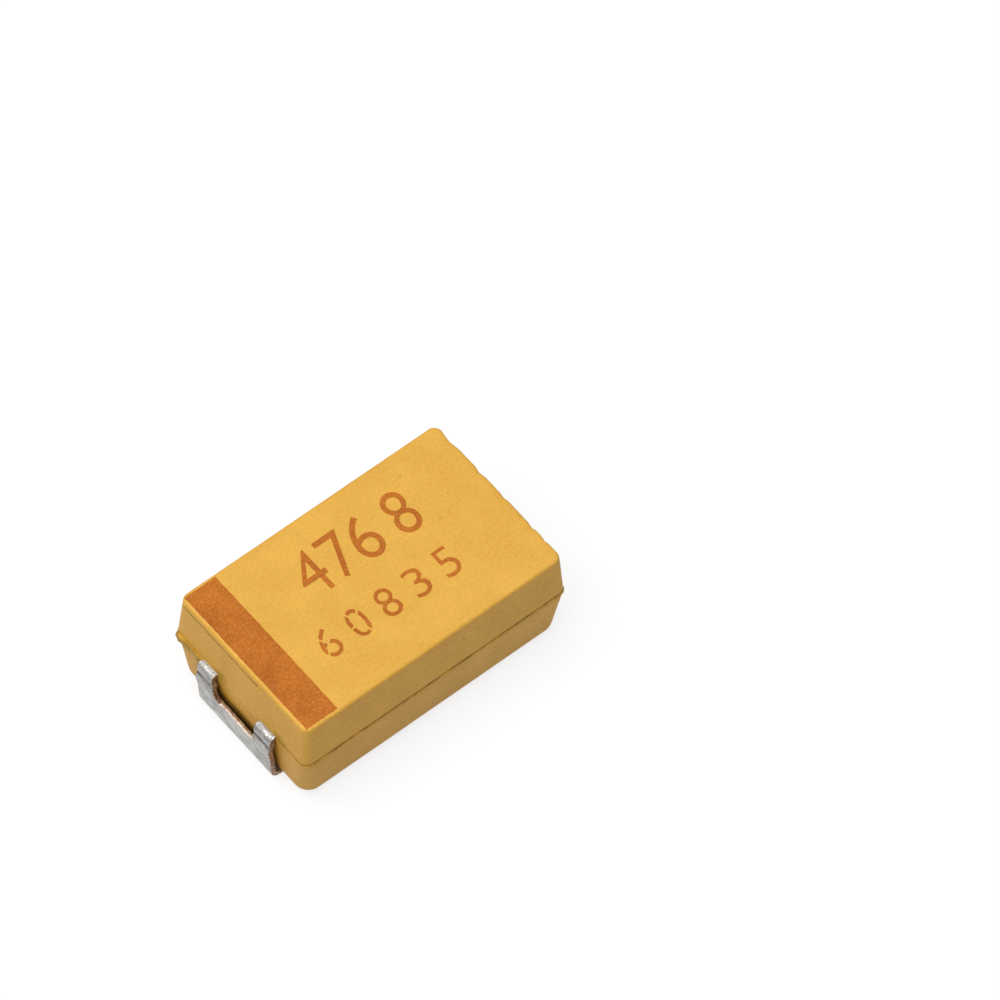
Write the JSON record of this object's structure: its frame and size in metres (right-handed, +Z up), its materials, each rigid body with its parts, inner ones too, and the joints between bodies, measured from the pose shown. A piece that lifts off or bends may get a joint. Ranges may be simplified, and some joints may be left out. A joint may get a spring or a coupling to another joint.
{
  "type": "tantalum capacitor",
  "caption": "Surface-mount tantalum capacitor: drafted moulded resin case with folded tin-plated terminals under each end and a polarity band at the anode.",
  "frame": {"origin": "centre of the footprint on the board plane, under the middle of the part", "axes": "+X from the anode (banded end) to the cathode, +Y across the width towards the narrower ear of each terminal, +Z up from the board through the marked face"},
  "size_m": [0.0072, 0.0044, 0.0028],
  "materials": {
    "moulded_resin": "matt moulded epoxy, mustard yellow",
    "tin_plate": "matt tin plate on copper alloy sheet",
    "marking": "orange-brown marked resin",
    "sintered_tantalum": "porous sintered tantalum",
    "tantalum_wire": "drawn tantalum wire",
    "washer_white": "white fluoropolymer",
    "graphite": "dull graphite coat",
    "silver_paint": "matt silver paint",
    "silver_glue": "cured silver-filled glue"
  },
  "bodies": {
    "root": {"case": "moulded_resin", "anode_terminal": "tin_plate", "cathode_terminal": "tin_plate", "polarity_band": "marking", "pellet": "sintered_tantalum", "anode_wire": "tantalum_wire", "wire_washer": "washer_white", "graphite_coat": "graphite", "silver_coat": "silver_paint", "silver_adhesive": "silver_glue"}
  },
  "joints": []
}
